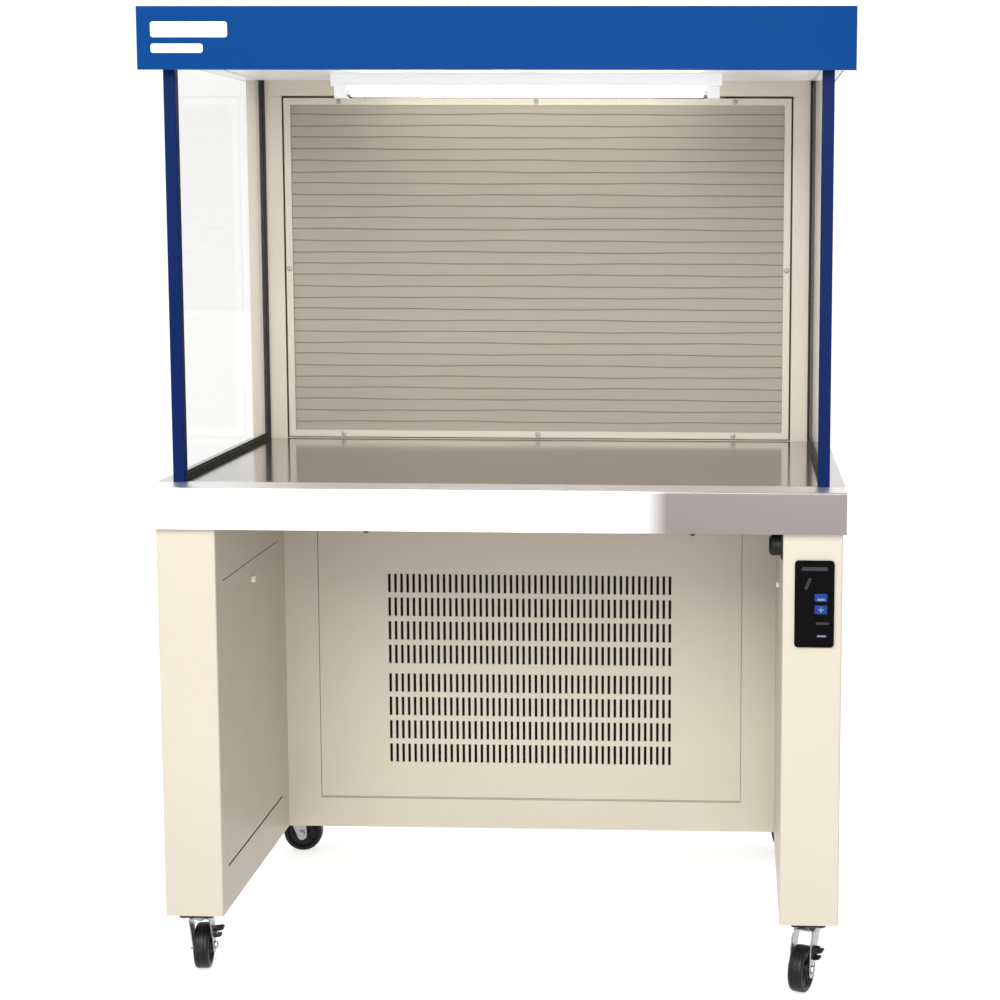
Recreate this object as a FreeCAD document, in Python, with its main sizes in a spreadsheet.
"""Horizontal laminar-flow clean bench on casters, modelled as an assembly of separate pieces.

Frame: millimetres, +X to the user's right, +Y to the back, +Z up. The floor is z = 0 and the
origin lies under the middle of the bounding box. Every size is a cell of the sheet "Dims".
"""
import FreeCAD, Part
import os
import re

import Sketcher

doc = FreeCAD.newDocument("CleanBench")
sheet = doc.addObject("Spreadsheet::Sheet", "Dims")

# Driving dimensions: alias, value in millimetres or degrees, meaning.
DIMENSIONS = [
    ("front_y", -383.97, "front face of the worktop apron"),
    ("back_y", 406.03, "rearmost face of the cabinet"),
    ("rear_panel", 3.5, "how far the rear covers lie in front of the rearmost face"),
    ("sheet_metal", 2, "thickness of the folded sheet steel"),
    ("body_half", 550, "half the width of the pedestals and plenum"),
    ("apron_half", 555, "half the width of the worktop"),
    ("canopy_half", 561.5, "half the width of the canopy"),
    ("leg_inner", 455, "inner face of each pedestal, from the centre"),
    ("leg_set_back", 11.5, "pedestal front behind the apron"),
    ("leg_bottom", 111, "underside of the pedestals"),
    ("apron_bottom", 755, "underside of the worktop"),
    ("apron_edge", 822, "height of the worktop's front edge"),
    ("worktop_top", 826, "height of the work surface"),
    ("lip_depth", 45, "depth of the sloping front lip"),
    ("seat_edge", 505, "edge of the raised work surface, from the centre"),
    ("seat_back", 4, "rear edge of the raised work surface in front of the filter wall"),
    ("seat_depth", 0.8, "how far the worktop drops beyond the raised work surface"),
    ("tooling", 1, "how far a cutting tool runs past the metal it cuts"),
    ("wall_set_back", 645, "front of the filter wall behind the apron"),
    ("canopy_bottom", 1480, "lower edge of the canopy"),
    ("ceiling_z", 1505, "underside of the ceiling sheet"),
    ("canopy_top", 1578, "top edge of the canopy skirt"),
    ("cap_top", 1606, "top of the cap"),
    ("canopy_set_back", 18, "canopy front behind the apron"),
    ("post_x", 520, "post and side glass from the centre"),
    ("post_width", 19, "square tube of the posts"),
    ("post_wall", 2, "wall of the square tube"),
    ("glass_thickness", 6, "side glass"),
    ("glass_lift", 2, "side glass above the work surface and in front of the filter wall"),
    ("gasket_half", 5, "half the width of the glass gasket"),
    ("gasket_rise", 9, "height of the bottom glass gasket"),
    ("gasket_depth", 7, "depth of the upright glass gasket"),
    ("gap_half_width", 483, "half the opening in the filter wall"),
    ("gap_top", 1476, "top of the opening in the filter wall"),
    ("header_seam", 2, "groove between the filter wall's side strips and its header"),
    ("guard_half", 479.5, "half the width of the filter guard's frame"),
    ("guard_low", 829, "bottom of the filter guard's frame"),
    ("guard_high", 1472, "top of the filter guard's frame"),
    ("guard_border", 12.5, "border of the filter guard's frame"),
    ("guard_depth", 7, "depth of the filter guard's frame"),
    ("guard_sheet", 2, "thickness of the filter guard's perforated sheet"),
    ("guard_sheet_back", 3, "filter guard's sheet behind the front of its frame"),
    ("filter_gap", 1, "filter behind its guard"),
    ("filter_depth", 78, "depth of the high-efficiency filter"),
    ("filter_wall", 14, "thickness of the filter's own frame"),
    ("pleat_step", 19, "pitch of the filter's pleats"),
    ("pleat_paper", 1.6, "paper and separator thickness of a pleat"),
    ("pleat_margin", 5, "pleats behind the filter's face"),
    ("screw_head", 5, "radius of the guard screw heads"),
    ("screw_rise", 1.2, "height of the guard screw heads"),
    ("screw_radius", 2, "guard screws"),
    ("screw_length", 8, "guard screws"),
    ("screw_x", 374, "outer guard screws from the centre"),
    ("bay_set_back", 480, "front of the fan box behind the apron"),
    ("bay_frame", 8, "depth of the fan box's front frame"),
    ("panel_half", 391.5, "half the width of the grille panel"),
    ("panel_low", 170, "bottom of the grille panel"),
    ("panel_high", 700, "top of the grille panel"),
    ("panel_sheet", 3, "thickness of the hung panels"),
    ("seam", 1.5, "seam round the hung panels"),
    ("hinge_seam", 4, "seam under the hung panels' lower edge"),
    ("rabbet", 12, "stop behind the grille panel's edge"),
    ("slot_width", 5, "grille slot"),
    ("slot_height", 35, "grille slot"),
    ("slot_pitch", 11.3, "between grille columns"),
    ("row_pitch", 44.6, "between grille rows"),
    ("bank_pitch", 188, "from the upper bank of rows to the lower one"),
    ("slot_first_x", 259.9, "outermost grille column from the centre"),
    ("slot_first_z", 576, "middle of the top grille row"),
    ("panel_knob_x", 301, "grille panel knobs from the centre"),
    ("panel_knob_z", 676, "height of the grille panel knobs"),
    ("knob_radius", 6, "quarter-turn knobs"),
    ("knob_depth", 5, "quarter-turn knobs"),
    ("knob_gap", 0.3, "knob in front of its panel"),
    ("knob_slot", 2, "width of a knob's screwdriver slot"),
    ("knob_slot_depth", 1.2, "depth of a knob's screwdriver slot"),
    ("knob_shaft", 3, "radius of a knob's shaft"),
    ("knob_root", 0.1, "how far a shaft runs into its knob"),
    ("cover_shaft", 12, "length of a cover knob's shaft"),
    ("cover_cam_set_back", 5.5, "cover cam behind the cover's face"),
    ("cam_sheet", 3, "thickness of a cam"),
    ("cover_cam_half", 5, "half the width of a cover cam"),
    ("cover_cam_reach", 42, "cover cam's reach"),
    ("panel_shaft", 16.3, "length of a grille panel knob's shaft"),
    ("panel_cam_half", 4, "half the width of a grille panel cam"),
    ("panel_cam_reach", 22, "grille panel cam's reach"),
    ("shaft_clearance", 0.06, "radial clearance of a turning shaft"),
    ("cover_front", 55, "front edge of the pedestal covers behind the apron"),
    ("cover_back", 430, "rear edge of the pedestal covers behind the apron"),
    ("cover_low", 185, "bottom of the pedestal covers"),
    ("cover_high", 661, "top of the pedestal covers"),
    ("cover_knob_z", 628, "height of the cover knobs"),
    ("panel_left", 474, "left edge of the control panel"),
    ("panel_right", 537, "right edge of the control panel"),
    ("control_low", 572, "bottom of the control panel"),
    ("control_high", 712, "top of the control panel"),
    ("control_depth", 4, "how far the control panel stands out"),
    ("control_corner", 6, "corner radius of the control panel and rim of the hole behind it"),
    ("key_left", 506, "left edge of the keys"),
    ("key_right", 526, "right edge of the keys"),
    ("key_clearance", 0.4, "gap round a key"),
    ("key_rise", 0.6, "how far a key stands out of the control panel"),
    ("fan_key_low", 646, "bottom of the fan key"),
    ("fan_key_height", 13, "fan key"),
    ("light_key_low", 626, "bottom of the light key"),
    ("light_key_height", 14, "light key"),
    ("board_inset", 8, "circuit board inside the control panel's sides"),
    ("board_inset_z", 10, "circuit board inside the control panel's ends"),
    ("board_sheet", 1.6, "circuit board"),
    ("spacer", 5, "square spacers that hold the circuit board"),
    ("spacer_length", 4, "square spacers that hold the circuit board"),
    ("hood_low", 712, "bottom of the cable hood's base"),
    ("hood_high", 752, "top of the cable hood's base"),
    ("hood_front", 6, "cable hood behind the pedestal's front"),
    ("hood_width", 36, "cable hood's base along the pedestal"),
    ("hood_sheet", 3, "cable hood's base plate"),
    ("hood_dome_z", 732, "middle of the cable hood's dome"),
    ("hood_dome", 17, "radius of the cable hood's dome"),
    ("hood_depth", 22, "how far the cable hood stands out"),
    ("hood_edge", 8, "rounding of the cable hood's dome"),
    ("throat_z", 728, "middle of the cable passage"),
    ("throat_radius", 8, "cable passage in the hood"),
    ("throat_depth", 14, "how far the cable passage reaches into the hood"),
    ("throat_length", 40, "cable passage"),
    ("pass_radius", 9, "hole for the cables in the pedestal"),
    ("mouth_low", 700, "how far down the hood's mouth is open"),
    ("mouth_back", 4, "hood's mouth in front of the pedestal wall"),
    ("inlet_x", 500, "middle of the mains inlet"),
    ("inlet_z", 161, "middle of the mains inlet"),
    ("inlet_flange_half_x", 24, "half the width of the mains inlet's flange"),
    ("inlet_flange_half_z", 18, "half the height of the mains inlet's flange"),
    ("inlet_flange", 2.5, "thickness of the mains inlet's flange"),
    ("inlet_half_x", 14, "half the width of the mains inlet's body"),
    ("inlet_half_z", 11, "half the height of the mains inlet's body"),
    ("inlet_depth", 30, "mains inlet's body"),
    ("inlet_wall", 2.5, "wall of the mains inlet"),
    ("inlet_cavity", 22, "depth of the mains inlet's socket"),
    ("caster_x", 502.5, "caster swivel axes from the centre"),
    ("caster_front", 44, "front swivel axes behind the apron"),
    ("caster_rear", 672, "rear swivel axes behind the apron"),
    ("plate_half", 28, "half the caster top plate"),
    ("plate_thickness", 5, "caster top plate"),
    ("bolt_offset", 21, "caster bolts from the swivel axis, each way"),
    ("bolt_radius", 4, "caster bolt heads"),
    ("bolt_head", 3, "height of the caster bolt heads"),
    ("wheel_radius", 37.5, "caster wheel"),
    ("wheel_half", 12.5, "half the width of the wheel's tread"),
    ("trail", 30, "wheel axis from the swivel axis"),
    ("fork_inner", 15.5, "half the gap in the fork"),
    ("fork_sheet", 2.5, "fork plate"),
    ("fork_top", 105.7, "top of the fork's head"),
    ("fork_head", 19, "radius of the fork's head"),
    ("fork_head_depth", 5, "depth of the fork's head"),
    ("fork_front", 16, "fork in front of the swivel axis"),
    ("fork_back", 24, "fork's head behind the swivel axis"),
    ("fork_eye", 10, "radius of the fork round the axle"),
    ("fork_eye_drop", 4, "fork's eye below the axle"),
    ("fork_waist", 28, "height of the fork's rear corner above the axle"),
    ("axle_head", 7, "radius of the axle's head"),
    ("axle_head_length", 4, "axle's head"),
    ("axle_nut", 6.5, "radius of the axle's nut"),
    ("axle_nut_length", 5, "axle's nut"),
    ("tread_round", 4, "rounding of the wheel's tread"),
    ("tread_depth", 9, "depth of the wheel's tyre"),
    ("hub_radius", 12, "wheel hub"),
    ("hub_gap", 0.5, "wheel hub beside the fork"),
    ("stub_radius", 3, "stub on which the brake pedal rocks"),
    ("stub_y", 12, "brake stub behind the swivel axis"),
    ("stub_z", 66, "height of the brake stub"),
    ("stub_length", 7.5, "brake stub"),
    ("pedal_gap", 0.6, "brake pedal outside the fork"),
    ("pedal_eye", 6, "radius and width of the brake pedal's eye"),
    ("pedal_sheet", 2.5, "thickness of the brake pedal's wings"),
    ("upper_wing_z", 68, "underside of the pedal's upper wing"),
    ("upper_wing_width", 16, "pedal's upper wing"),
    ("upper_wing_back", 36, "rear end of the pedal's upper wing"),
    ("lower_wing_z", 56, "underside of the pedal's lower wing"),
    ("lower_wing_width", 12, "pedal's lower wing"),
    ("lower_wing_front", 14, "front end of the pedal's lower wing"),
    ("lower_wing_back", 34, "rear end of the pedal's lower wing"),
    ("pedal_web", 3, "web between the pedal's wings"),
    ("pedal_web_back", 22, "rear end of the pedal's web"),
    ("axle_radius", 4, "wheel axle"),
    ("kingpin_radius", 6, "swivel pin"),
    ("fan_set_back", 668, "blower axis behind the apron"),
    ("fan_z", 400, "height of the blower axis"),
    ("scroll_radius", 112, "blower casing"),
    ("scroll_half", 105, "half the width of the blower casing"),
    ("impeller_radius", 88, "blower wheel"),
    ("impeller_half", 90, "half the width of the blower wheel"),
    ("inlet_ring", 18, "blower's inlets inside the blower wheel's rim"),
    ("rim_width", 5, "width of the blower wheel's rims"),
    ("rim_depth", 16, "depth of the blower wheel's rims"),
    ("blade_sheet", 1.6, "blower blades"),
    ("blade_depth", 17, "blower blades"),
    ("blade_lean", 28, "blower blades, degrees from the spoke"),
    ("hub_disc", 4, "blower wheel's hub disc"),
    ("hub_boss", 14, "radius of the blower wheel's boss"),
    ("hub_length", 40, "blower wheel's boss"),
    ("shaft_radius", 7, "blower shaft"),
    ("shaft_start", 220, "free end of the blower shaft from the middle"),
    ("shaft_length", 248, "blower shaft"),
    ("neck_height", 150, "blower's outlet above its axis"),
    ("foot_x", 101, "inner face of the blower casing's feet"),
    ("foot_sheet", 3, "feet of the blower and motor"),
    ("foot_half", 60, "half the depth of the blower's feet, and their top below its axis"),
    ("motor_start", 250, "far end of the motor from the middle"),
    ("motor_radius", 58, "motor"),
    ("motor_length", 110, "motor"),
    ("motor_bore", 90, "shaft bore of the motor"),
    ("motor_bore_start", 221, "blind end of the motor's bore from the middle"),
    ("motor_foot_far", 240, "far side of the motor's foot from the middle"),
    ("motor_foot_near", 150, "near side of the motor's foot from the middle"),
    ("motor_foot_half", 35, "half the depth of the motor's foot"),
    ("motor_foot_top", 40, "top of the motor's foot below its axis"),
    ("motor_foot_roof", 62, "room inside the motor's foot below its axis"),
    ("duct_half", 100, "half the width of the supply duct"),
    ("duct_depth", 100, "depth of the supply duct"),
    ("duct_back", 10, "supply duct in front of the rear covers"),
    ("duct_gap", 2, "gap round the supply duct where it passes the casings"),
    ("duct_rise", 6, "top of the supply duct above the underside of the worktop"),
    ("shelf_half", 308, "half the width of the coarse filter's shelf"),
    ("shelf_rise", 8, "shelf above the bottom of the grille panel"),
    ("shelf_depth", 62, "shelf behind the fan box's front frame"),
    ("shelf_stop", 16, "height of the shelf's rear stop"),
    ("shelf_leg_x", 301, "inner face of the shelf's legs from the centre"),
    ("shelf_leg", 3, "thickness of the shelf's legs"),
    ("prefilter_half", 300, "half the width of the coarse filter"),
    ("prefilter_set_back", 8, "coarse filter behind the fan box's front frame"),
    ("prefilter_depth", 46, "coarse filter"),
    ("prefilter_height", 460, "coarse filter"),
    ("prefilter_wall", 18, "border of the coarse filter's frame"),
    ("wadding_back", 17, "wadding behind the front of its frame"),
    ("wadding_depth", 12, "wadding"),
    ("lamp_set_back", 480, "lamp axis behind the apron"),
    ("lamp_half", 350, "half the length of the lamp fitting"),
    ("lamp_depth_half", 22, "half the depth of the lamp housing"),
    ("holder_outer", 4, "lamp holders inside the housing's ends"),
    ("holder_inner", 26, "inner face of the lamp holders inside the housing's ends"),
    ("holder_half", 11, "half the depth of the lamp holders"),
    ("holder_drop", 3, "lamp holders below the tube"),
    ("tube_end", 20, "tube inside the housing's ends"),
    ("lamp_low", 1483, "underside of the lamp housing"),
    ("tube_radius", 8, "lamp tube"),
    ("tube_z", 1473, "height of the lamp tube's axis"),
]
ALIASES = [alias for alias, value, meaning in DIMENSIONS]
for row, (alias, value, meaning) in enumerate(DIMENSIONS, start=1):
    sheet.set(f"A{row}", alias)
    sheet.set(f"B{row}", str(value))
    sheet.setAlias(f"B{row}", alias)
    sheet.set(f"C{row}", meaning)
doc.recompute()

WORD = re.compile(r"\b(" + "|".join(sorted(ALIASES, key=len, reverse=True)) + r")\b")
subparts = []


def dim(alias):
    """The value of a sheet cell."""
    return float(sheet.get(alias))


def bind(item, prop, expression):
    """Bind one property to an expression of sheet cells."""
    item.setExpression(prop, WORD.sub(r"Dims.\1", str(expression)))


def place(item, position):
    for axis, expression in zip("xyz", position):
        bind(item, f"Placement.Base.{axis}", expression)
    return item


def box(low, high):
    """A box between two corners, each corner three expressions."""
    solid = doc.addObject("Part::Box", "Block")
    for prop, start, end in zip(("Length", "Width", "Height"), low, high):
        bind(solid, prop, f"({end}) - ({start})")
    return place(solid, low)


def rod(radius, length, start, direction=(0, 0, 1)):
    """A cylinder that starts at a point and runs along a direction."""
    solid = doc.addObject("Part::Cylinder", "Rod")
    bind(solid, "Radius", radius)
    bind(solid, "Height", length)
    turn = FreeCAD.Rotation(FreeCAD.Vector(0, 0, 1), FreeCAD.Vector(*direction))
    solid.Placement = FreeCAD.Placement(FreeCAD.Vector(), turn)
    return place(solid, start)


def fuse(*pieces):
    if len(pieces) == 1:
        return pieces[0]
    union = doc.addObject("Part::MultiFuse", "Union")
    union.Shapes = list(pieces)
    union.Refine = True
    return union


def cut(base, *tools):
    result = doc.addObject("Part::Cut", "Cut")
    result.Base = base
    result.Tool = fuse(*tools)
    result.Refine = True
    return result


def group(*pieces):
    """Identical pieces that share one node, kept as separate solids."""
    bundle = doc.addObject("Part::Compound", "Group")
    bundle.Links = list(pieces)
    return bundle


def rounded(base, radius, chosen):
    """Fillet the edges of a recomputed solid for which chosen(edge) is true."""
    doc.recompute()
    fillet = doc.addObject("Part::Fillet", "Rounded")
    fillet.Base = base
    fillet.Edges = [(i, radius, radius) for i, edge in enumerate(base.Shape.Edges, 1) if chosen(edge)]
    return fillet


def turned(item, angle_deg, centre):
    """Turn a finished piece about the vertical line through centre."""
    holder = doc.addObject("Part::Compound", "Turned")
    holder.Links = [item]
    holder.Placement.Rotation = FreeCAD.Rotation(FreeCAD.Vector(0, 0, 1), angle_deg)
    return place(holder, centre)


def keep(item, label):
    """Name a finished sub-part; its label names its file."""
    item.Label = label
    subparts.append(item)
    return item


def along(direction):
    """True for an edge that runs along a direction."""
    axis = FreeCAD.Vector(*direction)

    def test(edge):
        if edge.Curve.TypeId != "Part::GeomLine":
            return False
        return edge.tangentAt(edge.FirstParameter).cross(axis).Length < 1e-6
    return test


def body_with_sketch(name, role):
    """A PartDesign body and a sketch on one of its own origin planes."""
    body = doc.addObject("PartDesign::Body", name)
    return body, sketch_on(body, role)


def sketch_on(body, role):
    plane = next(f for f in body.Origin.OriginFeatures if f.Role == role)
    sketch = body.newObject("Sketcher::SketchObject", "Sketch")
    sketch.AttachmentSupport = (plane, "")
    sketch.MapMode = "FlatFace"
    return sketch


def outline(sketch, points):
    """A closed outline whose corners are held by distances from the sketch's origin.

    Each point is a pair of expressions; its value now only starts the drawing.
    """
    starts = [FreeCAD.Vector(value_of(u), value_of(v), 0) for u, v in points]
    for i, start in enumerate(starts):
        sketch.addGeometry(Part.LineSegment(start, starts[(i + 1) % len(starts)]), False)
    for i, (u, v) in enumerate(points):
        before = (i - 1) % len(points)
        sketch.addConstraint(Sketcher.Constraint("Coincident", before, 2, i, 1))
        for kind, expression, start in (("DistanceX", u, starts[i].x), ("DistanceY", v, starts[i].y)):
            index = sketch.addConstraint(Sketcher.Constraint(kind, -1, 1, i, 1, start))
            bind(sketch, f"Constraints[{index}]", expression)


def value_of(expression):
    """The present value of an expression of sheet cells."""
    names = WORD.sub(lambda m: repr(dim(m.group(1))), str(expression))
    numbers = doc.getObject("Scratch") or doc.addObject("App::FeaturePython", "Scratch")
    if not hasattr(numbers, "Number"):
        numbers.addProperty("App::PropertyFloat", "Number")
    numbers.setExpression("Number", names)
    numbers.recompute()
    return numbers.Number


def pad(body, sketch, length, symmetric=False):
    feature = body.newObject("PartDesign::Pad", "Pad")
    feature.Profile = sketch
    bind(feature, "Length", length)
    feature.Midplane = symmetric
    body.Tip = feature
    return feature


# Short names for places used again and again.
FRONT = "front_y"
LEG_FRONT = "front_y + leg_set_back"
WALL = "front_y + wall_set_back"
BAY = "front_y + bay_set_back"
COVER_BACK = "back_y - rear_panel"
INNER_BACK = "back_y - rear_panel - sheet_metal"
DUCT_BACK = "back_y - rear_panel - sheet_metal - duct_back"
HOOD_Y = "front_y + leg_set_back + hood_front + hood_width / 2"
SIDES = (("left", -1), ("right", 1))


def side_box(sign, near, far, low, high):
    """A box whose X runs between two distances from the centre, on one side."""
    first, last = (near, far) if sign > 0 else (f"-({far})", f"-({near})")
    return box((first, low[0], low[1]), (last, high[0], high[1]))


def make_pedestals():
    """Two hollow sheet-steel pedestals, each with an opening for its service cover."""
    for side, sign in SIDES:
        shell = side_box(sign, "leg_inner", "body_half", (LEG_FRONT, "leg_bottom"),
                         (COVER_BACK, "apron_bottom"))
        shell = rounded(shell, 3, lambda e: along((0, 0, 1))(e) and e.CenterOfMass.y < 0)
        hollow = side_box(sign, "leg_inner + sheet_metal", "body_half - sheet_metal",
                          (f"{LEG_FRONT} + sheet_metal", "leg_bottom + sheet_metal"),
                          (f"{COVER_BACK} - sheet_metal", "apron_bottom - sheet_metal"))
        opening = side_box(sign, "leg_inner - tooling", "leg_inner + sheet_metal + tooling",
                           (f"{FRONT} + cover_front - seam", "cover_low - hinge_seam"),
                           (f"{FRONT} + cover_back + seam", "cover_high + seam"))
        tools = [hollow, opening]
        if sign > 0:
            tools.append(box(("panel_left + control_corner", f"{LEG_FRONT} - tooling", "control_low + control_corner"),
                             ("panel_right - control_corner", f"{LEG_FRONT} + sheet_metal + tooling",
                              "control_high - control_corner")))
            tools.append(rod("pass_radius", "sheet_metal + 2 * tooling",
                             ("leg_inner - tooling", HOOD_Y, "throat_z"), (1, 0, 0)))
            tools.append(box(("inlet_x - inlet_half_x", f"{COVER_BACK} - sheet_metal - tooling",
                              "inlet_z - inlet_half_z"),
                             ("inlet_x + inlet_half_x", f"{COVER_BACK} + tooling", "inlet_z + inlet_half_z")))
        keep(cut(shell, *tools), f"pedestal_{side}")


def make_service_covers():
    """The pedestals' service covers, hung on their lower edge, and their quarter-turn locks."""
    middle = f"{FRONT} + (cover_front + cover_back) / 2"
    for side, sign in SIDES:
        plate = side_box(sign, "leg_inner", "leg_inner + panel_sheet",
                         (f"{FRONT} + cover_front", "cover_low"), (f"{FRONT} + cover_back", "cover_high"))
        bore = rod("knob_shaft + shaft_clearance", "cover_shaft",
                   (f"{sign} * (leg_inner + panel_sheet + tooling)", middle, "cover_knob_z"), (-sign, 0, 0))
        keep(cut(plate, bore), f"service_cover_{side}")
        keep(cover_lock(sign, middle), f"cover_lock_{side}")


def cover_lock(sign, middle):
    """Knob outside, shaft through the cover, and a cam behind it, all turning about X."""
    face = f"{sign} * (leg_inner - knob_gap - knob_depth)"
    knob = rod("knob_radius", "knob_depth", (face, middle, "cover_knob_z"), (sign, 0, 0))
    groove = box((f"{face} - knob_slot_depth", f"{middle} - knob_slot / 2", "cover_knob_z - knob_radius"),
                 (f"{face} + knob_slot_depth", f"{middle} + knob_slot / 2", "cover_knob_z + knob_radius"))
    shaft = rod("knob_shaft", "cover_shaft",
                (f"{sign} * (leg_inner - knob_gap - knob_root)", middle, "cover_knob_z"), (sign, 0, 0))
    cam = side_box(sign, "leg_inner + cover_cam_set_back", "leg_inner + cover_cam_set_back + cam_sheet",
                   (f"{middle} - cover_cam_half", "cover_knob_z - cover_cam_half"),
                   (f"{middle} + cover_cam_reach", "cover_knob_z + cover_cam_half"))
    return cut(fuse(knob, shaft, cam), groove)


def make_fan_box():
    """The box between the pedestals, with its front frame and duct hole, and the shelf inside it."""
    frame_back = f"{BAY} + bay_frame"
    casing = box(("-leg_inner", BAY, "leg_bottom"), ("leg_inner", INNER_BACK, "apron_bottom"))
    hollow = box(("-leg_inner + sheet_metal", frame_back, "leg_bottom + sheet_metal"),
                 ("leg_inner - sheet_metal", "back_y", "apron_bottom - sheet_metal"))
    recess = box(("-panel_half - seam", f"{BAY} - tooling", "panel_low - hinge_seam"),
                 ("panel_half + seam", f"{BAY} + panel_sheet + tooling", "panel_high + seam"))
    through = box(("-panel_half + rabbet", f"{BAY} + tooling", "panel_low + rabbet"),
                  ("panel_half - rabbet", f"{frame_back} + tooling", "panel_high - rabbet"))
    exit_hole = duct_hole("apron_bottom - sheet_metal - tooling", "apron_bottom + tooling")
    keep(cut(casing, hollow, recess, through, exit_hole), "fan_box_shell")
    keep(box(("-leg_inner", INNER_BACK, "leg_bottom"), ("leg_inner", COVER_BACK, "apron_bottom")),
         "fan_box_back_cover")
    shelf_back = f"{frame_back} + shelf_depth"
    shelf = box(("-shelf_half", frame_back, "panel_low + shelf_rise"),
                ("shelf_half", shelf_back, "panel_low + shelf_rise + sheet_metal"))
    stop = box(("-shelf_half", f"{shelf_back} - sheet_metal", "panel_low + shelf_rise + sheet_metal"),
               ("shelf_half", shelf_back, "panel_low + shelf_rise + sheet_metal + shelf_stop"))
    legs = [side_box(sign, "shelf_leg_x", "shelf_leg_x + shelf_leg", (frame_back, "leg_bottom + sheet_metal"),
                     (shelf_back, "panel_low + shelf_rise")) for side, sign in SIDES]
    keep(fuse(shelf, stop, *legs), "prefilter_shelf")


def duct_hole(low, high):
    """The hole in a casing through which the supply duct passes."""
    return box(("-duct_half - duct_gap", f"{DUCT_BACK} - duct_depth - duct_gap", low),
               ("duct_half + duct_gap", f"{DUCT_BACK} + duct_gap", high))


def make_grille_panel():
    """The removable front panel of the fan box, with eight rows of slots in two banks, and its locks."""
    body, sketch = body_with_sketch("GrillePanel", "XZ_Plane")
    outline(sketch, [("-panel_half", "panel_low"), ("panel_half", "panel_low"),
                     ("panel_half", "panel_high"), ("-panel_half", "panel_high")])
    pad(body, sketch, "panel_sheet")
    bind(body, "Placement.Base.y", f"{BAY} + panel_sheet")
    doc.recompute()
    slot = sketch_on(body, "XZ_Plane")
    left, right = "-slot_first_x - slot_width / 2", "-slot_first_x + slot_width / 2"
    low, high = "slot_first_z - slot_height / 2", "slot_first_z + slot_height / 2"
    outline(slot, [(left, low), (right, low), (right, high), (left, high)])
    first = body.newObject("PartDesign::Pocket", "Slot")
    first.Profile = slot
    first.Type = "ThroughAll"
    first.Midplane = True
    doc.recompute()
    grid = body.newObject("PartDesign::MultiTransform", "Slots")
    grid.Originals = [first]
    columns, rows = 47, 4
    steps = (("H_Axis", columns, f"slot_pitch * {columns - 1}", False),
             ("V_Axis", rows, f"row_pitch * {rows - 1}", True), ("V_Axis", 2, "bank_pitch", True))
    patterns = []
    for axis, count, length, downwards in steps:
        pattern = body.newObject("PartDesign::LinearPattern", "Row")
        pattern.Direction = (slot, [axis])
        bind(pattern, "Length", length)
        pattern.Occurrences = count
        pattern.Reversed = downwards
        patterns.append(pattern)
    grid.Transformations = patterns
    body.Tip = grid
    doc.recompute()
    bores = [rod("knob_shaft + shaft_clearance", "panel_sheet + 2 * tooling",
                 (f"{sign} * panel_knob_x", f"{BAY} - tooling", "panel_knob_z"), (0, 1, 0)) for side, sign in SIDES]
    keep(cut(body, *bores), "grille_panel")
    for side, sign in SIDES:
        keep(panel_lock(f"{sign} * panel_knob_x"), f"panel_lock_{side}")


def panel_lock(centre):
    """Knob outside, shaft through the grille panel, and a cam behind it, all turning about Y."""
    face = f"{BAY} - knob_gap - knob_depth"
    knob = rod("knob_radius", "knob_depth", (centre, face, "panel_knob_z"), (0, 1, 0))
    groove = box((f"{centre} - knob_slot / 2", f"{face} - tooling", "panel_knob_z - knob_radius"),
                 (f"{centre} + knob_slot / 2", f"{face} + knob_slot_depth", "panel_knob_z + knob_radius"))
    shaft = rod("knob_shaft", "panel_shaft", (centre, f"{BAY} - knob_gap - knob_root", "panel_knob_z"), (0, 1, 0))
    cam_front = f"{BAY} + bay_frame + tooling"
    cam = box((f"{centre} - panel_cam_half", cam_front, "panel_knob_z - panel_cam_half"),
              (f"{centre} + panel_cam_reach", f"{cam_front} + cam_sheet", "panel_knob_z + panel_cam_half"))
    return cut(fuse(knob, shaft, cam), groove)


def make_worktop():
    """A folded stainless pan with a sloping front lip, and the sheet that closes it below.

    The work surface is slightly raised: the side screens and the filter guard meet the lower rim round it.
    """
    body, sketch = body_with_sketch("WorktopPan", "YZ_Plane")
    outline(sketch, [(FRONT, "apron_bottom"), (WALL, "apron_bottom"), (WALL, "worktop_top"),
                     (f"{FRONT} + lip_depth", "worktop_top"), (FRONT, "apron_edge")])
    pad(body, sketch, "2 * apron_half", symmetric=True)
    doc.recompute()
    edge = rounded(body, 3, lambda e: along((1, 0, 0))(e) and abs(e.CenterOfMass.z - dim("apron_edge")) < 0.1)
    inside = box(("-apron_half + sheet_metal", f"{FRONT} + sheet_metal", "apron_bottom - tooling"),
                 ("apron_half - sheet_metal", f"{WALL} - sheet_metal", "apron_edge - sheet_metal - tooling"))
    under_top = box(("-apron_half + sheet_metal", f"{FRONT} + lip_depth", "apron_bottom - tooling"),
                    ("apron_half - sheet_metal", f"{WALL} - sheet_metal", "worktop_top - sheet_metal"))
    seats = [side_box(sign, "seat_edge", "apron_half + tooling", (f"{FRONT} - tooling", "worktop_top - seat_depth"),
                      (f"{WALL} + tooling", "worktop_top + tooling")) for side, sign in SIDES]
    rear_seat = box(("-seat_edge - tooling", f"{WALL} - seat_back", "worktop_top - seat_depth"),
                    ("seat_edge + tooling", f"{WALL} + tooling", "worktop_top + tooling"))
    keep(cut(edge, inside, under_top, rear_seat, *seats), "worktop_pan")
    keep(box(("-apron_half + sheet_metal", f"{FRONT} + sheet_metal", "apron_bottom"),
             ("apron_half - sheet_metal", f"{WALL} - sheet_metal", "apron_bottom + sheet_metal")),
         "worktop_underside")


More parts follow.
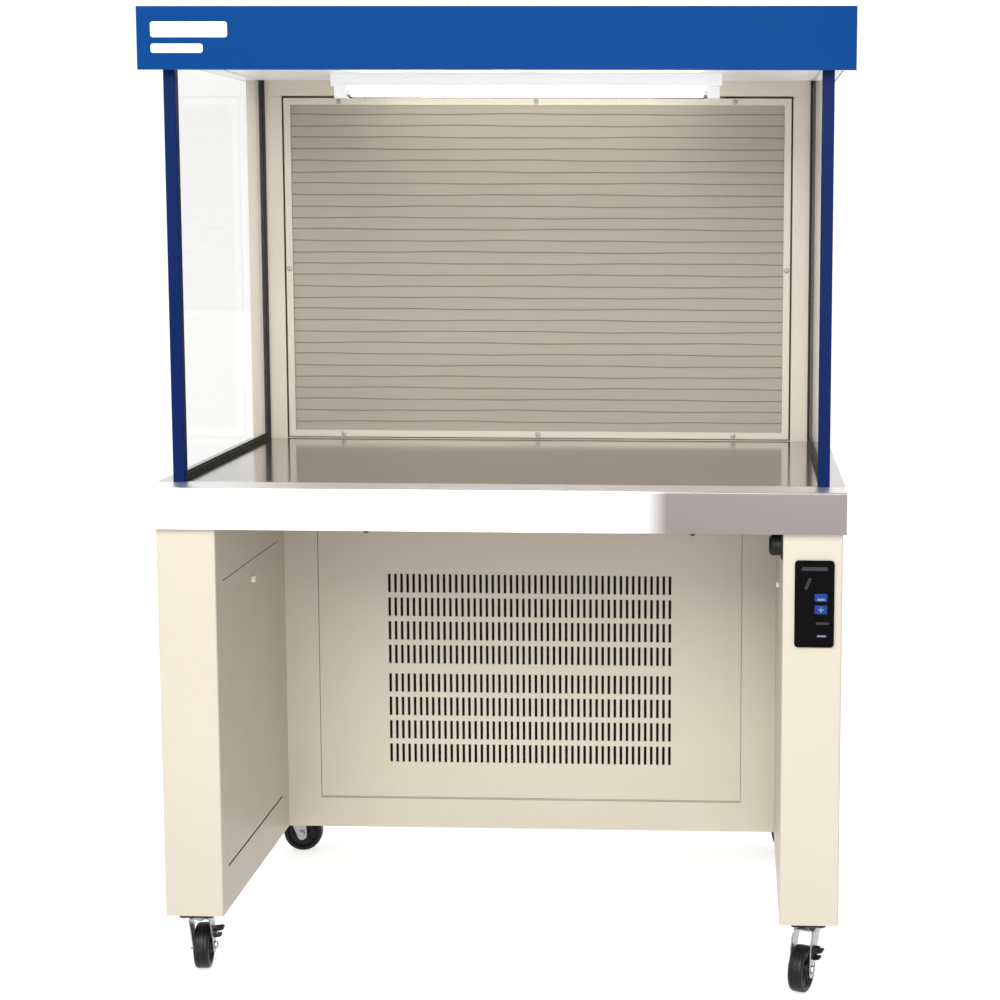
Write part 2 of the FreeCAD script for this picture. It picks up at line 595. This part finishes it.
def make_plenum():
    """The pressure box behind the filter and its rear cover."""
    shell = box(("-body_half", WALL, "apron_bottom"), ("body_half", INNER_BACK, "ceiling_z"))
    hollow = box(("-body_half + sheet_metal", f"{WALL} + sheet_metal", "apron_bottom + sheet_metal"),
                 ("body_half - sheet_metal", "back_y", "ceiling_z - sheet_metal"))
    opening = box(("-gap_half_width", f"{WALL} - tooling", "worktop_top + tooling"),
                  ("gap_half_width", f"{WALL} + sheet_metal + tooling", "gap_top"))
    entry = duct_hole("apron_bottom - tooling", "apron_bottom + sheet_metal + tooling")
    grooves = [side_box(sign, "gap_half_width - tooling", "body_half + tooling",
                        (f"{WALL} - tooling", "gap_top - header_seam"), (f"{WALL} + sheet_metal / 2", "gap_top"))
               for side, sign in SIDES]
    keep(cut(shell, hollow, opening, entry, *grooves), "plenum_shell")
    keep(box(("-body_half", INNER_BACK, "apron_bottom"), ("body_half", COVER_BACK, "ceiling_z")),
         "plenum_back_cover")


def make_filter_wall():
    """The high-efficiency filter and the guard in front of it."""
    face = f"{WALL} + guard_depth + filter_gap"
    back = f"{face} + filter_depth"
    outer = box(("-guard_half", face, "guard_low"), ("guard_half", back, "guard_high"))
    inner = box(("-guard_half + filter_wall", f"{face} - tooling", "guard_low + filter_wall"),
                ("guard_half - filter_wall", f"{back} + tooling", "guard_high - filter_wall"))
    keep(cut(outer, inner), "filter_frame")
    keep(pleats(face), "filter_media")
    border = box(("-guard_half", WALL, "guard_low"), ("guard_half", f"{WALL} + guard_depth", "guard_high"))
    window = box(("-guard_half + guard_border", f"{WALL} - tooling", "guard_low + guard_border"),
                 ("guard_half - guard_border", face, "guard_high - guard_border"))
    holes = [rod("screw_radius", "guard_depth + 2 * tooling", (x, f"{WALL} - tooling", z), (0, 1, 0))
             for x, z in screw_places()]
    keep(cut(border, window, *holes), "guard_frame")
    sheet_front = f"{WALL} + guard_sheet_back"
    keep(box(("-guard_half + guard_border", sheet_front, "guard_low + guard_border"),
             ("guard_half - guard_border", f"{sheet_front} + guard_sheet", "guard_high - guard_border")),
         "guard_mesh")
    screws = [fuse(rod("screw_head", "screw_rise", (x, f"{WALL} - screw_rise", z), (0, 1, 0)),
                   rod("screw_radius", "screw_length", (x, f"{WALL} - screw_rise / 2", z), (0, 1, 0)))
              for x, z in screw_places()]
    keep(group(*screws), "guard_screws")


def pleats(face):
    """The filter's folded paper: one upright V-shaped pleat, repeated across the frame."""
    body, sketch = body_with_sketch("PleatPack", "XY_Plane")
    left, near, far = "-guard_half + filter_wall", "pleat_margin", "filter_depth - pleat_margin"
    outline(sketch, [(left, near), (f"{left} + pleat_paper", near),
                     (f"{left} + pleat_step / 2", f"{far} - pleat_paper"),
                     (f"{left} + pleat_step - pleat_paper", near), (f"{left} + pleat_step", near),
                     (f"{left} + pleat_step / 2 + pleat_paper / 2", far),
                     (f"{left} + pleat_step / 2 - pleat_paper / 2", far)])
    pleat = pad(body, sketch, "guard_high - guard_low - 2 * filter_wall")
    doc.recompute()
    row = body.newObject("PartDesign::LinearPattern", "Pleats")
    row.Originals = [pleat]
    row.Direction = (sketch, ["H_Axis"])
    count = round((2 * (dim("guard_half") - dim("filter_wall"))) / dim("pleat_step"))
    bind(row, "Length", f"pleat_step * {count - 1}")
    row.Occurrences = count
    body.Tip = row
    return place(body, (0, face, "guard_low + filter_wall"))


def screw_places():
    """Where the guard's eight screws go: three above, three below, one on each side."""
    low, high = "guard_low + guard_border / 2", "guard_high - guard_border / 2"
    side, middle = "guard_half - guard_border / 2", "(guard_low + guard_high) / 2"
    places = [(x, z) for z in (low, high) for x in ("-screw_x", "0", "screw_x")]
    return places + [(f"-({side})", middle), (side, middle)]


def make_side_screens():
    """Posts, side glass and the glass gaskets."""
    post_front = f"{FRONT} + lip_depth"
    seat = "worktop_top - seat_depth"
    gaskets = []
    for side, sign in SIDES:
        post = side_box(sign, "post_x - post_width / 2", "post_x + post_width / 2",
                        (post_front, seat), (f"{post_front} + post_width", "ceiling_z"))
        post = rounded(post, 1.5, along((0, 0, 1)))
        bore = side_box(sign, "post_x - post_width / 2 + post_wall", "post_x + post_width / 2 - post_wall",
                        (f"{post_front} + post_wall", f"{seat} + post_wall"),
                        (f"{post_front} + post_width - post_wall", "ceiling_z - post_wall"))
        keep(cut(post, bore), f"post_{side}")
        low = (f"{post_front} + post_width", "worktop_top + glass_lift")
        high = (f"{WALL} - glass_lift", "ceiling_z")
        near, far = "post_x - glass_thickness / 2", "post_x + glass_thickness / 2"
        keep(side_box(sign, near, far, low, high), f"side_glass_{side}")
        foot = side_box(sign, "post_x - gasket_half", "post_x + gasket_half",
                        (f"{post_front} + post_width", seat), (WALL, "worktop_top + gasket_rise"))
        upright = side_box(sign, "post_x - gasket_half", "post_x + gasket_half",
                           (f"{WALL} - gasket_depth", seat), (WALL, "ceiling_z"))
        gaskets.append(cut(fuse(foot, upright), side_box(sign, near, far, low, high)))
    keep(group(*gaskets), "glass_gaskets")


def make_canopy():
    """Blue skirt, deeper at the front than at its sides, white cap and ceiling sheet."""
    front = f"{FRONT} + canopy_set_back"
    ring = box(("-canopy_half", front, "canopy_bottom"), ("canopy_half", "back_y", "canopy_top"))
    room = box(("-canopy_half + sheet_metal", f"{front} + sheet_metal", "canopy_bottom - tooling"),
               ("canopy_half - sheet_metal", "back_y - sheet_metal", "canopy_top + tooling"))
    below = box(("-canopy_half - tooling", f"{front} + sheet_metal", "canopy_bottom - tooling"),
                ("canopy_half + tooling", "back_y + tooling", "ceiling_z"))
    keep(cut(ring, room, below), "canopy_skirt")
    cap = box(("-canopy_half", front, "canopy_top"), ("canopy_half", "back_y", "cap_top"))
    cap = rounded(cap, 4, lambda e: abs(e.CenterOfMass.z - dim("cap_top")) < 0.1)
    inside = box(("-canopy_half + sheet_metal", f"{front} + sheet_metal", "canopy_top - tooling"),
                 ("canopy_half - sheet_metal", "back_y - sheet_metal", "cap_top - sheet_metal"))
    keep(cut(cap, inside), "canopy_cap")
    keep(box(("-canopy_half + sheet_metal", f"{front} + sheet_metal", "ceiling_z"),
             ("canopy_half - sheet_metal", "back_y - sheet_metal", "ceiling_z + sheet_metal")), "ceiling_sheet")


def make_lamp():
    """The strip lamp under the ceiling."""
    axis = f"{FRONT} + lamp_set_back"
    housing = box(("-lamp_half", f"{axis} - lamp_depth_half", "lamp_low"),
                  ("lamp_half", f"{axis} + lamp_depth_half", "ceiling_z"))
    keep(rounded(housing, 4, lambda e: along((1, 0, 0))(e) and e.CenterOfMass.z < dim("lamp_low") + 1),
         "lamp_housing")
    holders = []
    for side, sign in SIDES:
        holder = side_box(sign, "lamp_half - holder_inner", "lamp_half - holder_outer",
                          (f"{axis} - holder_half", "tube_z - tube_radius - holder_drop"),
                          (f"{axis} + holder_half", "lamp_low"))
        holders.append(rounded(holder, 3, lambda e: along((1, 0, 0))(e) and e.CenterOfMass.z < dim("tube_z")))
    start, length = ("-lamp_half + tube_end", axis, "tube_z"), "2 * (lamp_half - tube_end)"
    keep(cut(group(*holders), rod("tube_radius", length, start, (1, 0, 0))), "lamp_holders")
    keep(rod("tube_radius", length, start, (1, 0, 0)), "lamp_tube")


def make_controls():
    """Control panel, two keys and the circuit board behind them."""
    face = f"{LEG_FRONT} - control_depth"
    plate = box(("panel_left", face, "control_low"), ("panel_right", LEG_FRONT, "control_high"))
    plate = rounded(plate, dim("control_corner"), along((0, 1, 0)))
    keys = ("fan_key", "light_key")
    wells = [box(("key_left - key_clearance", f"{face} - tooling", f"{key}_low - key_clearance"),
                 ("key_right + key_clearance", f"{LEG_FRONT} + tooling", f"{key}_low + {key}_height + key_clearance"))
             for key in keys]
    keep(cut(plate, *wells), "control_panel")
    for key in keys:
        keep(box(("key_left", f"{face} - key_rise", f"{key}_low"),
                 ("key_right", LEG_FRONT, f"{key}_low + {key}_height")), key)
    left, right = "panel_left + board_inset", "panel_right - board_inset"
    low, high = "control_low + board_inset_z", "control_high - board_inset_z"
    board_front = f"{LEG_FRONT} + spacer_length"
    board = box((left, board_front, low), (right, f"{board_front} + board_sheet", high))
    spacers = [box((x, LEG_FRONT, z), (f"{x} + spacer", board_front, f"{z} + spacer"))
               for x in (left, f"{right} - spacer") for z in (low, f"{high} - spacer")]
    keep(fuse(board, *spacers), "control_board")


def make_cable_hood():
    """The hooded cable passage at the top of the right pedestal's inner face."""
    dome_start = "leg_inner - hood_depth"
    base = box(("leg_inner - hood_sheet", f"{HOOD_Y} - hood_width / 2", "hood_low"),
               ("leg_inner", f"{HOOD_Y} + hood_width / 2", "hood_high"))
    dome = rod("hood_dome", "hood_depth", (dome_start, HOOD_Y, "hood_dome_z"), (1, 0, 0))
    dome = rounded(dome, dim("hood_edge"), lambda e: e.CenterOfMass.x < dim("leg_inner") - dim("hood_depth") / 2)
    throat = rod("throat_radius", "throat_length", ("leg_inner - throat_depth", HOOD_Y, "throat_z"), (1, 0, 0))
    mouth = box(("leg_inner - throat_depth", f"{HOOD_Y} - throat_radius", "mouth_low"),
                ("leg_inner - mouth_back", f"{HOOD_Y} + throat_radius", "throat_z"))
    keep(cut(fuse(base, dome), throat, mouth), "cable_hood")


def make_mains_inlet():
    """The appliance inlet at the back of the right pedestal."""
    flange = box(("inlet_x - inlet_flange_half_x", COVER_BACK, "inlet_z - inlet_flange_half_z"),
                 ("inlet_x + inlet_flange_half_x", f"{COVER_BACK} + inlet_flange", "inlet_z + inlet_flange_half_z"))
    flange = rounded(flange, 5, along((0, 1, 0)))
    socket = box(("inlet_x - inlet_half_x", f"{COVER_BACK} - inlet_depth", "inlet_z - inlet_half_z"),
                 ("inlet_x + inlet_half_x", COVER_BACK, "inlet_z + inlet_half_z"))
    cavity = box(("inlet_x - inlet_half_x + inlet_wall", f"{COVER_BACK} - inlet_cavity",
                  "inlet_z - inlet_half_z + inlet_wall"),
                 ("inlet_x + inlet_half_x - inlet_wall", f"{COVER_BACK} + inlet_flange + tooling",
                  "inlet_z + inlet_half_z - inlet_wall"))
    keep(cut(fuse(flange, socket), cavity), "mains_inlet")


def make_blower():
    """Casing, motor on its pedestal, wheel with its shaft, and the duct upwards."""
    axis_y = f"{FRONT} + fan_set_back"
    duct_front = f"{DUCT_BACK} - duct_depth"
    across = (1, 0, 0)
    drum = rod("scroll_radius", "2 * scroll_half", ("-scroll_half", axis_y, "fan_z"), across)
    neck = box(("-scroll_half", duct_front, "fan_z"), ("scroll_half", DUCT_BACK, "fan_z + neck_height"))
    feet = [side_box(sign, "foot_x", "foot_x + foot_sheet", (f"{axis_y} - foot_half", "leg_bottom + sheet_metal"),
                     (f"{axis_y} + foot_half", "fan_z - foot_half")) for side, sign in SIDES]
    room = rod("scroll_radius - sheet_metal", "2 * (scroll_half - sheet_metal)",
               ("-scroll_half + sheet_metal", axis_y, "fan_z"), across)
    throat = box(("-scroll_half + sheet_metal", f"{duct_front} + sheet_metal", "fan_z"),
                 ("scroll_half - sheet_metal", f"{DUCT_BACK} - sheet_metal", "fan_z + neck_height + tooling"))
    inlets = rod("impeller_radius - inlet_ring", "2 * (scroll_half + tooling)",
                 ("-scroll_half - tooling", axis_y, "fan_z"), across)
    keep(cut(fuse(drum, neck, *feet), room, throat, inlets), "blower_casing")
    wide = box(("-duct_half", duct_front, "fan_z + neck_height"), ("duct_half", DUCT_BACK, "apron_bottom + duct_rise"))
    hole = box(("-duct_half + sheet_metal", f"{duct_front} + sheet_metal", "fan_z + neck_height - tooling"),
               ("duct_half - sheet_metal", f"{DUCT_BACK} - sheet_metal", "apron_bottom + duct_rise + tooling"))
    keep(cut(wide, hole), "supply_duct")
    floor = "leg_bottom + sheet_metal"
    stator = rod("motor_radius", "motor_length", ("-motor_start", axis_y, "fan_z"), across)
    foot = box(("-motor_foot_far", f"{axis_y} - motor_foot_half", floor),
               ("-motor_foot_near", f"{axis_y} + motor_foot_half", "fan_z - motor_foot_top"))
    bearing = rod("shaft_radius + shaft_clearance", "motor_bore", ("-motor_bore_start", axis_y, "fan_z"), across)
    foot_room = box(("-motor_foot_far + foot_sheet", f"{axis_y} - motor_foot_half - tooling", f"{floor} + foot_sheet"),
                    ("-motor_foot_near - foot_sheet", f"{axis_y} + motor_foot_half + tooling",
                     "fan_z - motor_foot_roof"))
    keep(cut(fuse(stator, foot), bearing, foot_room), "blower_motor")
    keep(make_impeller(axis_y), "blower_wheel")


def make_impeller(axis_y):
    """A drum wheel: hub disc, two rims, forward-curved blades and the shaft."""
    across = (1, 0, 0)
    pieces = [rod("impeller_radius - tooling", "hub_disc", ("-hub_disc / 2", axis_y, "fan_z"), across),
              rod("hub_boss", "hub_length", ("-hub_length / 2", axis_y, "fan_z"), across),
              rod("shaft_radius", "shaft_length", ("-shaft_start", axis_y, "fan_z"), across)]
    for start in ("-impeller_half", "impeller_half - rim_width"):
        rim = rod("impeller_radius", "rim_width", (start, axis_y, "fan_z"), across)
        eye = rod("impeller_radius - rim_depth", "rim_width + 2 * tooling",
                  (f"{start} - tooling", axis_y, "fan_z"), across)
        pieces.append(cut(rim, eye))
    blades = 18
    about_x = FreeCAD.Vector(1, 0, 0)
    for i in range(blades):
        blade = doc.addObject("Part::Box", "Blade")
        bind(blade, "Length", "2 * impeller_half")
        bind(blade, "Width", "blade_sheet")
        bind(blade, "Height", "blade_depth")
        angle = 360.0 * i / blades
        spoke = FreeCAD.Rotation(about_x, angle).multVec(FreeCAD.Vector(0, 0, 1))
        blade.Placement.Rotation = FreeCAD.Rotation(about_x, angle + dim("blade_lean"))
        place(blade, ("-impeller_half", f"{axis_y} + {spoke.y} * (impeller_radius - blade_depth - tooling)",
                      f"fan_z + {spoke.z} * (impeller_radius - blade_depth - tooling)"))
        pieces.append(blade)
    return fuse(*pieces)


def make_prefilter():
    """The coarse filter behind the grille."""
    front = f"{BAY} + bay_frame + prefilter_set_back"
    low = "panel_low + shelf_rise + sheet_metal"
    high = f"{low} + prefilter_height"
    outer = box(("-prefilter_half", front, low), ("prefilter_half", f"{front} + prefilter_depth", high))
    left, right = "-prefilter_half + prefilter_wall", "prefilter_half - prefilter_wall"
    inner = box((left, f"{front} - tooling", f"{low} + prefilter_wall"),
                (right, f"{front} + prefilter_depth + tooling", f"{high} - prefilter_wall"))
    keep(cut(outer, inner), "prefilter_frame")
    keep(box((left, f"{front} + wadding_back", f"{low} + prefilter_wall"),
             (right, f"{front} + wadding_back + wadding_depth", f"{high} - prefilter_wall")), "prefilter_media")


# Caster name, side, distance behind the apron, turn of the trailing wheel from straight back,
# and the side of the fork that carries the brake (0 for none).
CASTERS = [("front_left", -1, "caster_front", 6, 1), ("front_right", 1, "caster_front", 159, -1),
           ("rear_left", -1, "caster_rear", -90, 0), ("rear_right", 1, "caster_rear", 35, 0)]


def make_casters():
    """Four swivel casters; each is drawn with its swivel axis at x = y = 0 and its wheel behind."""
    plates = []
    bolts = []
    for name, sign, behind, angle, brake_side in CASTERS:
        centre = (f"{sign} * caster_x", f"{FRONT} + {behind}", 0)
        plates.append(place(caster_plate(), centre))
        bolts.append(place(caster_bolts(), centre))
        keep(turned(fork(brake_side), angle, centre), f"caster_fork_{name}")
        keep(turned(axle(), angle, centre), f"caster_axle_{name}")
        keep(turned(wheel(), angle, centre), f"caster_wheel_{name}")
        if brake_side:
            keep(turned(brake_lever(brake_side), angle, centre), f"brake_lever_{name}")
    keep(group(*plates), "caster_plates")
    keep(group(*bolts), "caster_bolts")


def caster_plate():
    low = "leg_bottom - plate_thickness"
    plate = box(("-plate_half", "-plate_half", low), ("plate_half", "plate_half", "leg_bottom"))
    plate = rounded(plate, 5, along((0, 0, 1)))
    return cut(plate, rod("kingpin_radius + shaft_clearance", "plate_thickness + 2 * tooling",
                          (0, 0, f"{low} - tooling")))


def caster_bolts():
    places = [(x, y) for x in ("-bolt_offset", "bolt_offset") for y in ("-bolt_offset", "bolt_offset")]
    return group(*[rod("bolt_radius", "bolt_head", (x, y, "leg_bottom - plate_thickness - bolt_head"))
                   for x, y in places])


def fork(brake_side):
    """Head disc, two legs that lean back to the axle, the swivel pin and the brake's stub."""
    under_head = "fork_top - fork_head_depth"
    head = rod("fork_head", "fork_head_depth", (0, 0, under_head))
    pin = rod("kingpin_radius", "fork_head_depth", (0, 0, "fork_top - knob_root"))
    bridge = box(("-fork_inner - fork_sheet", "-fork_front", f"{under_head} - fork_sheet"),
                 ("fork_inner + fork_sheet", "fork_back", under_head))
    pieces = [head, pin, bridge] + [fork_leg(sign) for side, sign in SIDES]
    if brake_side:
        pieces.append(rod("stub_radius", "stub_length", (f"{brake_side} * (fork_inner + fork_sheet - knob_root)",
                                                         "stub_y", "stub_z"), (brake_side, 0, 0)))
    bore = rod("axle_radius", "2 * (fork_inner + fork_sheet + tooling)",
               ("-fork_inner - fork_sheet - tooling", "trail", "wheel_radius"), (1, 0, 0))
    return cut(fuse(*pieces), bore)


def fork_leg(sign):
    """One side plate of the fork: wide at the head, round at the axle."""
    body, sketch = body_with_sketch("ForkLeg", "YZ_Plane")
    eye_z = "wheel_radius - fork_eye_drop"
    outline(sketch, [("-fork_front", "fork_top - fork_head_depth"), ("trail - fork_eye", eye_z),
                     ("trail + fork_eye", eye_z), ("trail + fork_eye - fork_sheet", "wheel_radius + fork_waist"),
                     ("fork_back", "fork_top - fork_head_depth")])
    pad(body, sketch, "fork_sheet")
    start = "fork_inner" if sign > 0 else "-fork_inner - fork_sheet"
    bind(body, "Placement.Base.x", start)
    return fuse(body, rod("fork_eye", "fork_sheet", (start, "trail", eye_z), (1, 0, 0)))


def axle():
    """Axle bolt with a head and a nut outside the fork."""
    outside = "fork_inner + fork_sheet"
    shaft = rod("axle_radius", f"2 * ({outside})", (f"-({outside})", "trail", "wheel_radius"), (1, 0, 0))
    head = rod("axle_head", "axle_head_length", (f"-({outside}) - axle_head_length", "trail", "wheel_radius"),
               (1, 0, 0))
    nut = rod("axle_nut", "axle_nut_length", (outside, "trail", "wheel_radius"), (1, 0, 0))
    return fuse(shaft, head, nut)


def wheel():
    """A turned wheel: rounded tread, dished sides and a hub, revolved about its axle."""
    body, sketch = body_with_sketch("Wheel", "XZ_Plane")
    bore, hub, web = "axle_radius + shaft_clearance", "fork_inner - hub_gap", "wheel_half - tread_round"
    shoulder, edge = "wheel_radius - tread_depth + 3", "wheel_radius - tread_round"
    half = [(hub, bore), (hub, "hub_radius"), (web, "hub_radius + 2"), (web, "wheel_radius - tread_depth"),
            ("wheel_half", shoulder), ("wheel_half", edge), (web, "wheel_radius")]
    outline(sketch, half + [(f"-({x})", z) for x, z in reversed(half)])
    turn = body.newObject("PartDesign::Revolution", "Turned")
    turn.Profile = sketch
    turn.ReferenceAxis = (sketch, ["H_Axis"])
    turn.Angle = 360
    body.Tip = turn
    return place(body, (0, "trail", "wheel_radius"))


def brake_lever(brake_side):
    """A two-winged pedal that rocks on a stub at the fork's side."""
    start = "fork_inner + fork_sheet + pedal_gap"
    eye = rod("pedal_eye", "pedal_eye", (f"{brake_side} * ({start})", "stub_y", "stub_z"), (brake_side, 0, 0))
    upper = side_box(brake_side, start, f"{start} + upper_wing_width", ("stub_y", "upper_wing_z"),
                     ("upper_wing_back", "upper_wing_z + pedal_sheet"))
    lower = side_box(brake_side, start, f"{start} + lower_wing_width", ("lower_wing_front", "lower_wing_z"),
                     ("lower_wing_back", "lower_wing_z + pedal_sheet"))
    web = side_box(brake_side, start, f"{start} + pedal_web", ("stub_y", "lower_wing_z + tooling"),
                   ("pedal_web_back", "upper_wing_z + pedal_sheet / 2"))
    bore = rod("stub_radius + shaft_clearance", "pedal_eye + 2 * tooling",
               (f"{brake_side} * ({start} - tooling)", "stub_y", "stub_z"), (brake_side, 0, 0))
    return cut(fuse(eye, upper, lower, web), bore)


make_pedestals()
make_service_covers()
make_fan_box()
make_grille_panel()
make_worktop()
make_plenum()
make_filter_wall()
make_side_screens()
make_canopy()
make_lamp()
make_controls()
make_cable_hood()
make_mains_inlet()
make_blower()
make_prefilter()
make_casters()
doc.recompute()

for item in doc.Objects:
    if "Invalid" in item.State or "Error" in item.State:
        raise RuntimeError(f"{item.Name} ({item.Label}) failed: {item.State}")
os.makedirs("parts", exist_ok=True)
for item in subparts:
    if item.Shape.isNull() or not item.Shape.isValid():
        raise RuntimeError(f"{item.Label} has no valid shape")
    item.Shape.exportStep(f"parts/{item.Label}.step")
print(len(subparts), "sub-parts written")
